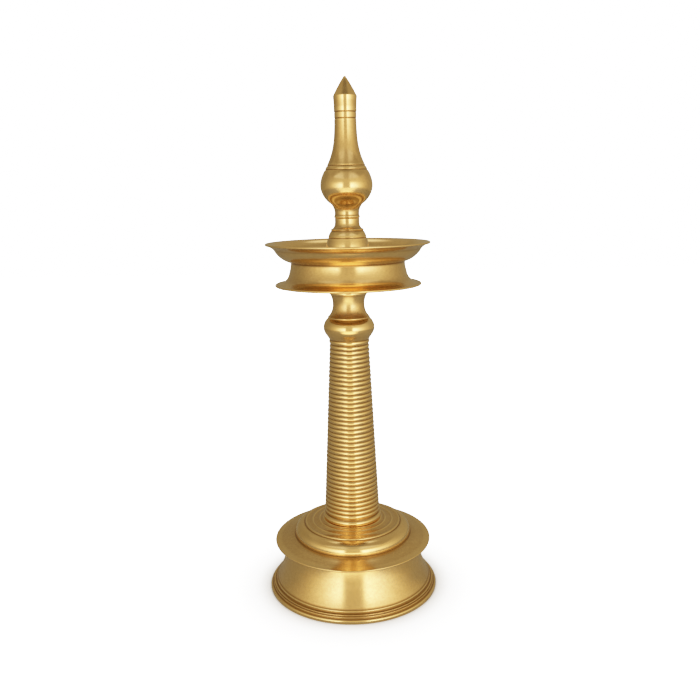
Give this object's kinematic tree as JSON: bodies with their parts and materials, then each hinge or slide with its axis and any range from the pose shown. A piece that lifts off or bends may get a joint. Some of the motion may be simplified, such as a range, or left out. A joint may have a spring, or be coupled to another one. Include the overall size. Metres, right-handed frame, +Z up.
{
  "type": "standing oil lamp",
  "caption": "Turned brass standing oil lamp: hollow flared foot, domed flange, ribbed column, round oil tray on a waisted drum, bulb finial with a conical tip; the sections screw together.",
  "frame": {"origin": "centre of the circle that the foot rests on, on the supporting surface", "axes": "+Z up along the lamp's axis; the lamp is round, so X and Y are any two level directions"},
  "size_m": [0.1558, 0.1558, 0.457],
  "materials": {
    "brass_foot": "lathe-turned, satin polish",
    "brass_dome": "lathe-turned, satin polish",
    "brass_column": "ribbed, polished crests",
    "brass_neck": "lathe-turned, satin polish",
    "brass_tray": "lathe-turned, satin polish",
    "brass_pedestal": "lathe-turned, satin polish",
    "brass_finial": "lathe-turned, satin polish",
    "brass_thread": "turned, unpolished",
    "washer_rubber": "matt"
  },
  "bodies": {
    "base": {"base_foot": "brass_foot", "base_dome": "brass_dome"},
    "column_screw": {"base_stud": "brass_thread"},
    "column": {"column": "brass_column"},
    "tray_screw": {"tray_stud": "brass_thread"},
    "tray": {"neck": "brass_neck", "oil_tray": "brass_tray", "tray_washer": "washer_rubber", "pedestal": "brass_pedestal"},
    "finial_screw": {"finial_stud": "brass_thread"},
    "finial": {"finial": "brass_finial"}
  },
  "joints": [
    {"name": "column_rise", "type": "slide", "parent": "base", "child": "column_screw", "axis": [0, 0, 1], "range_m": [0, 0.016]},
    {"name": "column_turn", "type": "hinge", "parent": "column_screw", "child": "column", "pos_m": [0, 0, 0.065], "axis": [0, 0, 1], "range_deg": [0, 2880]},
    {"name": "tray_rise", "type": "slide", "parent": "column", "child": "tray_screw", "axis": [0, 0, 1], "range_m": [0, 0.014]},
    {"name": "tray_turn", "type": "hinge", "parent": "tray_screw", "child": "tray", "pos_m": [0, 0, 0.253], "axis": [0, 0, 1], "range_deg": [0, 2520]},
    {"name": "finial_rise", "type": "slide", "parent": "tray", "child": "finial_screw", "axis": [0, 0, 1], "range_m": [0, 0.012]},
    {"name": "finial_turn", "type": "hinge", "parent": "finial_screw", "child": "finial", "pos_m": [0, 0, 0.34], "axis": [0, 0, 1], "range_deg": [0, 2880]}
  ],
  "couplings": [
    {"joint": "column_rise", "follows": "column_turn", "m_per_rad": 0.00031831},
    {"joint": "tray_rise", "follows": "tray_turn", "m_per_rad": 0.00031831},
    {"joint": "finial_rise", "follows": "finial_turn", "m_per_rad": 0.00023873}
  ]
}
